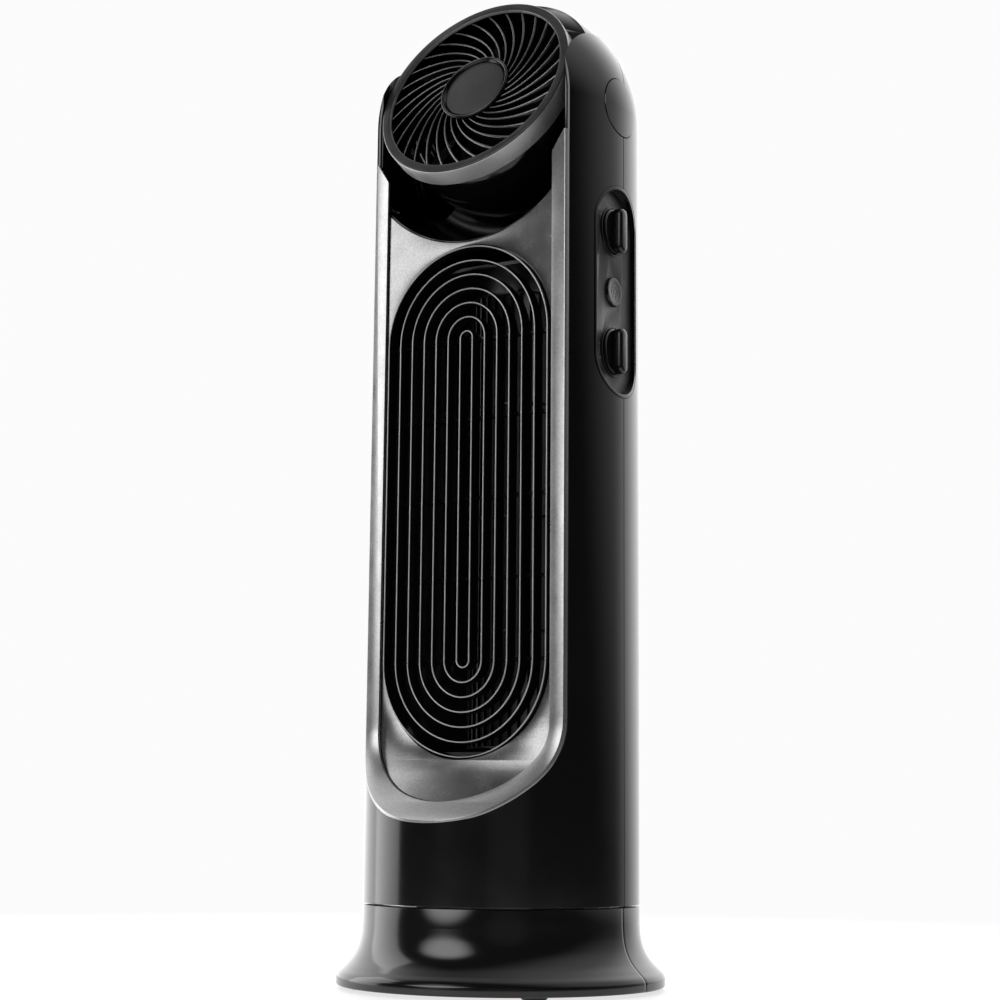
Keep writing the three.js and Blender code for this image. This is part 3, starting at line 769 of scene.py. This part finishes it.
def hub_cap():
    dome = [(r, 59.4 - 1.5 * (r / 27) ** 2) for r in (24, 18, 12, 6, 0)]
    profile = [(0, 50), (28, 50), (28, 56.6)] + arc(1.0, 0, 80, 5, (27, 56.8)) + dome
    cap = lathe(profile, 160, matrix=FAN_AXIS)
    finish_piece(cap, "hub_disc", "head", hub_plastic, ["hub_cap"], 0)


def bowl_arc(r, low, high, steps=24):
    return [(math.sqrt(r * r - (f - BOWL_F) ** 2), f) for f in
            (low + (high - low) * i / steps for i in range(steps + 1))]


def head_bowl():
    outer = bowl_arc(BOWL_R, 40.4, -25.4)
    inner = bowl_arc(BOWL_R - BOWL_WALL, 42.6, -25.4)
    profile = [(87, 42.6), (87, 40.4)] + outer + inner[::-1]
    bowl = lathe(profile, 200, closed=True, matrix=FAN_AXIS)
    finish_piece(bowl, "fan_bowl", "head", gloss_black, ["head_bowl"], 0)


def drum(r, x):
    edge = math.degrees(math.asin(x / r))
    profile = [(0, -x)] + arc(r, -edge, edge, 40) + [(0, x)]
    return lathe(profile, 200, matrix=Matrix.Rotation(math.radians(90), 4, "Y"))


def head_hood():
    def behind(setback):
        line = [(-HOOD_F + setback, -150), (-HOOD_F + setback, 150), (150, 150), (150, -150)]
        return prism(line, "x", -100, 100)

    hood = within(drum(SHELL_R, HEAD_X), behind(0))
    cut(hood, within(drum(SHELL_R - HOOD_WALL, HEAD_X - HOOD_WALL), behind(HOOD_WALL)))
    turn = Matrix.Rotation(math.radians(90), 4, "X")
    mouth = lathe([(0, 30), (SKIRT_R, 30), (SKIRT_R, 60), (0, 60)], 160, matrix=turn)
    lower_front = prism([(-200, -8), (-20, -8), (25, -45), (70, -200), (-200, -200)], "x", -100, 100)
    cut(hood, mouth, lower_front)
    for i in range(-3, 4):
        sector = arc(98, 48, 72, 2) + arc(124, 72, 48, 2)
        cut(hood, prism(sector, "x", i * 20 - 3, i * 20 + 3))
    for side in (-1, 1):
        x0, x1 = sorted((side * (HEAD_X - 2), side * 104))
        combine(hood, prism(arc(PIN_R, 0, 360, 64)[:-1], "x", x0, x1), "UNION")
    hood.data.transform(HEAD)
    finish_piece(hood, "hood_shell", "head", body_black, ["head_hood"], 0.5, ball_normal)


def fan_blade(turn):
    """One broad twisted blade of the head's fan, thin at its edges."""
    rings = []
    steps = 10
    for i in range(steps + 1):
        share = i / steps
        r = 22 + 46.5 * share
        pitch = math.radians(52 - 22 * share)
        half = 15 + 7 * math.sin(math.pi * share)
        ring = []
        for k in range(12):
            a = 2 * math.pi * k / 12
            along, thick = half * math.cos(a), 1.0 * math.sin(a)
            height = 29.5 + (along * math.sin(pitch) + thick * math.cos(pitch)) * 0.72
            swing = (along * math.cos(pitch) - thick * math.sin(pitch)) / r + turn + 0.25 * share
            ring.append((r * math.cos(swing), r * math.sin(swing), height))
        rings.append(ring)
    return sweep(rings)


def head_fan():
    hub = lathe([(0, 18), (24, 18), (24, 37)] + arc(3.5, 0, 80, 6, (20.5, 37)) + [(0, 40.5)], 96)
    shaft = lathe([(0, -12), (3.5, -12), (3.5, 18), (0, 18)], 48)
    fan = join(hub, shaft, *[fan_blade(math.radians(360 / FAN_BLADES * i)) for i in range(FAN_BLADES)])
    fan.data.transform(FAN_AXIS)
    finish_piece(fan, "axial_fan", "head_fan", dark_plastic, ["head_fan"], 0)


# ---------------------------------------------------------------- blower wheel
WHEEL_Y = 30
WHEEL_VANES = 36


def wheel_vane(turn):
    """A vane of the cross-flow wheel: a thin strip curved forward, run the wheel's whole length."""
    left, right = [], []
    for i in range(6):
        share = i / 5
        r = 34 + 11.6 * share
        t = turn + 0.30 * share ** 2
        left.append(((r + 0.3) * math.cos(t - 0.010), (r + 0.3) * math.sin(t - 0.010)))
        right.append(((r - 0.3) * math.cos(t + 0.010), (r - 0.3) * math.sin(t + 0.010)))
    return prism(left + right[::-1], "z", 191.5, 572.5)


def blower_wheel():
    shaft = lathe([(0, 124), (4, 124), (4, 596), (0, 596)], 48)
    discs = [lathe([(0, z - 1), (45.7, z - 1), (46, z - 0.7), (46, z + 0.7), (45.7, z + 1), (0, z + 1)], 120)
             for z in (192, 287, 382, 477, 572)]
    vanes = [wheel_vane(2 * math.pi * i / WHEEL_VANES) for i in range(WHEEL_VANES)]
    wheel = join(shaft, *discs, *vanes)
    wheel.data.transform(Matrix.Translation((0, WHEEL_Y, 0)))
    finish_piece(wheel, "cross_flow_wheel", "blower_wheel", dark_plastic, ["blower_wheel"], 0)


# ---------------------------------------------------------------- controls
def disc(r, z, x0, x1, steps=64):
    return prism(arc(r, 0, 360, steps, (PANEL_Y, z))[:-1], "x", x0, x1)


def control_panel():
    panel = prism(stadium(PANEL_R, *PANEL_Z, 40, PANEL_Y), "x", 100, 120)
    within(panel, lathe([(0, 400), (BODY_R - 0.1, 400), (BODY_R - 0.1, 700), (0, 700)], 256))
    cut(panel, prism(stadium(PANEL_R - 3, *PANEL_Z, 40, PANEL_Y), "x", PANEL_FLOOR_X, 130))
    for z in KNOB_Z:
        collar = disc(DIAL_R + 2.2, z, PANEL_FLOOR_X - 0.4, PANEL_FLOOR_X + 1.2)
        combine(panel, cut(collar, disc(DIAL_R + 0.8, z, 103, 108)), "UNION")
        cut(panel, disc(BORE_R, z, 90, 110, 32))
    cut(panel, disc(BUTTON_R + 0.4, BUTTON_Z, 90, 120))
    finish_piece(panel, "side_panel", "tower", gloss_black, ["control_panel"], 0.35)
    paint_faces(panel, panel_black, lambda c, n: n.x > 0.9 and c.x < PANEL_FLOOR_X + 1.4)


def along_x(profile, z, segments=96):
    turn = Matrix.Translation((0, PANEL_Y, z)) @ Matrix.Rotation(math.radians(90), 4, "Y")
    return lathe(profile, segments, matrix=turn)


def knobs():
    for z, name in zip(KNOB_Z, ("lower", "upper")):
        dial = along_x([(0, 104.8), (DIAL_R - 0.4, 104.8), (DIAL_R, 105.2), (DIAL_R, 106.8),
                        (DIAL_R - 0.8, 107.5), (DIAL_R - 1.8, 107.6), (DIAL_R - 3.4, 107.2), (0, 107.2)], z)
        layers = []
        for inset, x in ((0.0, 107.0), (0.0, 112.4), (0.35, 114.2), (1.1, 115.2), (2.2, 115.6)):
            half = GRIP_HALF - 0.4 - 0.4 * inset
            outline = stadium(5.6 - inset, z - half, z + half, 16, PANEL_Y)
            layers.append([(x, y, h) for y, h in outline])
        grip = sweep(layers)
        stem = disc(STEM_R, z, 90, 105, 32)
        knob = join(dial, grip, stem)
        body = name + "_knob"
        finish_piece(knob, name + "_dial", body, knob_black, [body], 0)
        mark = box(115.5, 115.72, PANEL_Y - 0.45, PANEL_Y + 0.45, z + 8, z + 14)
        finish_piece(mark, name + "_pointer", body, print_grey, (), 0)


def button():
    cap = along_x([(0, 102), (BUTTON_R, 102), (BUTTON_R, 105.7), (BUTTON_R - 0.5, 106.3),
                   (BUTTON_R - 1.6, 106.4), (8, 106.0), (0, 105.7)], BUTTON_Z)
    cap = join(cap, disc(STEM_R, BUTTON_Z, 93, 104, 32))
    finish_piece(cap, "push_cap", "swing_button", knob_black, ["swing_button"], 0)
    outer = arc(6.0, -50, 230, 24, (PANEL_Y, BUTTON_Z))
    inner = arc(5.0, -50, 230, 24, (PANEL_Y, BUTTON_Z))
    symbol = prism(outer + inner[::-1], "x", 105.6, 106.05)
    dot = disc(1.6, BUTTON_Z, 105.6, 105.95, 24)
    tips = []
    for angle, way in ((230, 1), (-50, -1)):
        cy, cz = arc(5.5, angle, angle, 1, (PANEL_Y, BUTTON_Z))[0]
        t = math.radians(angle)
        along = Vector((-math.sin(t), math.cos(t))) * way
        out = Vector((math.cos(t), math.sin(t)))
        base = Vector((cy, cz))
        points = [base + out * 1.7, base - out * 1.7, base + along * 2.6]
        tips.append(prism([tuple(p) for p in points], "x", 105.6, 106.05))
    symbol = join(symbol, dot, *tips)
    finish_piece(symbol, "push_symbol", "swing_button", print_grey, (), 0)


def panel_marks():
    """Small ticks on the panel round each knob, in place of any lettering."""
    ticks = []
    for z, angles in ((KNOB_Z[0], (90, 62, 34, 6, -22)), (KNOB_Z[1], (90, 58, 26))):
        for k, angle in enumerate(angles):
            tick = box(104.35, 104.55, -0.35, 0.35, 22.6, 24.0 + 0.25 * k)
            turn = Matrix.Translation((0, PANEL_Y, z)) @ Matrix.Rotation(math.radians(90 - angle), 4, "X")
            tick.data.transform(turn)
            ticks.append(tick)
    finish_piece(join(*ticks), "panel_ticks", "tower", print_grey, (), 0)


# ---------------------------------------------------------------- studio
def studio_floor():
    """A pale round floor; its rim fades into the white room."""
    floor = build([(0, 0, -0.05)] + [(x, y, -0.05) for x, y in arc(1500, 0, 360, 96)[:-1]],
                  [[0, 1 + i, 1 + (i + 1) % 96] for i in range(96)])
    floor.name = "studio_floor"
    floor.data.transform(Matrix.Scale(MM, 4))
    floor.data.materials.append(floor_material())


def soft_light(name, place, aim, width, height, power):
    data = bpy.data.lights.new(name, "AREA")
    data.energy = power
    data.shape = "RECTANGLE"
    data.size = width
    data.size_y = height
    lamp = bpy.data.objects.new(name, data)
    lamp.location = place
    lamp.rotation_mode = "QUATERNION"
    lamp.rotation_quaternion = (Vector(aim) - Vector(place)).to_track_quat("-Z", "Y")
    bpy.context.scene.collection.objects.link(lamp)


def studio_world():
    """White all round to the eye; the light comes from behind, from the left and from high in front."""
    world = bpy.data.worlds.new("studio")
    bpy.context.scene.world = world
    world.use_nodes = True
    nodes, links = world.node_tree.nodes, world.node_tree.links
    direction = nodes.new("ShaderNodeTexCoord").outputs["Generated"]

    def lobe(towards, low, high, strength):
        """Light from round one direction, rising from low to high cosine."""
        dot = nodes.new("ShaderNodeVectorMath")
        dot.operation = "DOT_PRODUCT"
        dot.inputs[1].default_value = Vector(towards).normalized()
        links.new(direction, dot.inputs[0])
        ramp = nodes.new("ShaderNodeMapRange")
        ramp.interpolation_type = "SMOOTHSTEP"
        ramp.inputs["From Min"].default_value = low
        ramp.inputs["From Max"].default_value = high
        ramp.inputs["To Max"].default_value = strength
        links.new(dot.outputs["Value"], ramp.inputs["Value"])
        return ramp.outputs["Result"]

    def add(first, second):
        node = nodes.new("ShaderNodeMath")
        links.new(first, node.inputs[0])
        links.new(second, node.inputs[1])
        return node.outputs[0]

    back = lobe((-0.62, 0.75, 0.25), 0.12, 0.8, 1.6)
    top = lobe((0.25, 0.55, 0.80), 0.45, 0.97, 1.1)
    key = lobe((-0.24, -0.87, 0.43), 0.91, 0.995, 5.5)
    left = lobe((-0.97, 0.24, 0.15), 0.62, 0.98, 1.0)
    front = lobe((0.60, -0.80, 0.05), 0.93, 0.99, 0.12)
    around = nodes.new("ShaderNodeBackground")
    dim_room = nodes.new("ShaderNodeValue").outputs[0]
    dim_room.default_value = 0.025
    lit = add(add(back, top), add(add(front, key), left))
    links.new(add(lit, dim_room), around.inputs["Strength"])
    seen = nodes["Background"]
    seen.inputs["Color"].default_value = (1, 1, 1, 1)
    seen.inputs["Strength"].default_value = 0.97
    path = nodes.new("ShaderNodeLightPath")
    mix = nodes.new("ShaderNodeMixShader")
    links.new(path.outputs["Is Camera Ray"], mix.inputs["Fac"])
    links.new(around.outputs["Background"], mix.inputs[1])
    links.new(seen.outputs["Background"], mix.inputs[2])
    links.new(mix.outputs["Shader"], nodes["World Output"].inputs["Surface"])


def camera():
    yaw, pitch, roll = math.radians(32.0), math.radians(9.18), math.radians(0.513)
    ahead = Vector((-math.sin(yaw) * math.cos(pitch), math.cos(yaw) * math.cos(pitch), math.sin(pitch)))
    right = Vector((math.cos(yaw), math.sin(yaw), 0))
    up = right.cross(ahead)
    side = right * math.cos(roll) + up * math.sin(roll)
    top = up * math.cos(roll) - right * math.sin(roll)
    data = bpy.data.cameras.new("camera")
    data.lens = 72
    data.sensor_width = 36
    data.clip_end = 100
    obj = bpy.data.objects.new("camera", data)
    turn = Matrix((side, top, -ahead)).transposed().to_4x4()
    obj.matrix_world = Matrix.Translation((0.8722, -1.4031, 0.1309)) @ turn
    bpy.context.scene.collection.objects.link(obj)
    bpy.context.scene.camera = obj


def studio():
    studio_floor()
    studio_world()
    camera()
    soft_light("left_wall", (-1.8, -0.45, 0.75), (0, 0, 0.42), 1.2, 1.9, 13)
    scene = bpy.context.scene
    scene.view_settings.view_transform = "Standard"
    scene.view_settings.look = "None"


# ---------------------------------------------------------------- the whole
dress_cad_nodes()
base_pieces()
front_shell()
rear_shell()
handle_cup()
pivot_caps()
ear_liners()
front_trim()
front_panel()
ring_grille()
head_cradle()
head_bezel()
head_guard()
hub_cap()
head_bowl()
head_hood()
head_fan()
blower_wheel()
control_panel()
knobs()
button()
panel_marks()
studio()
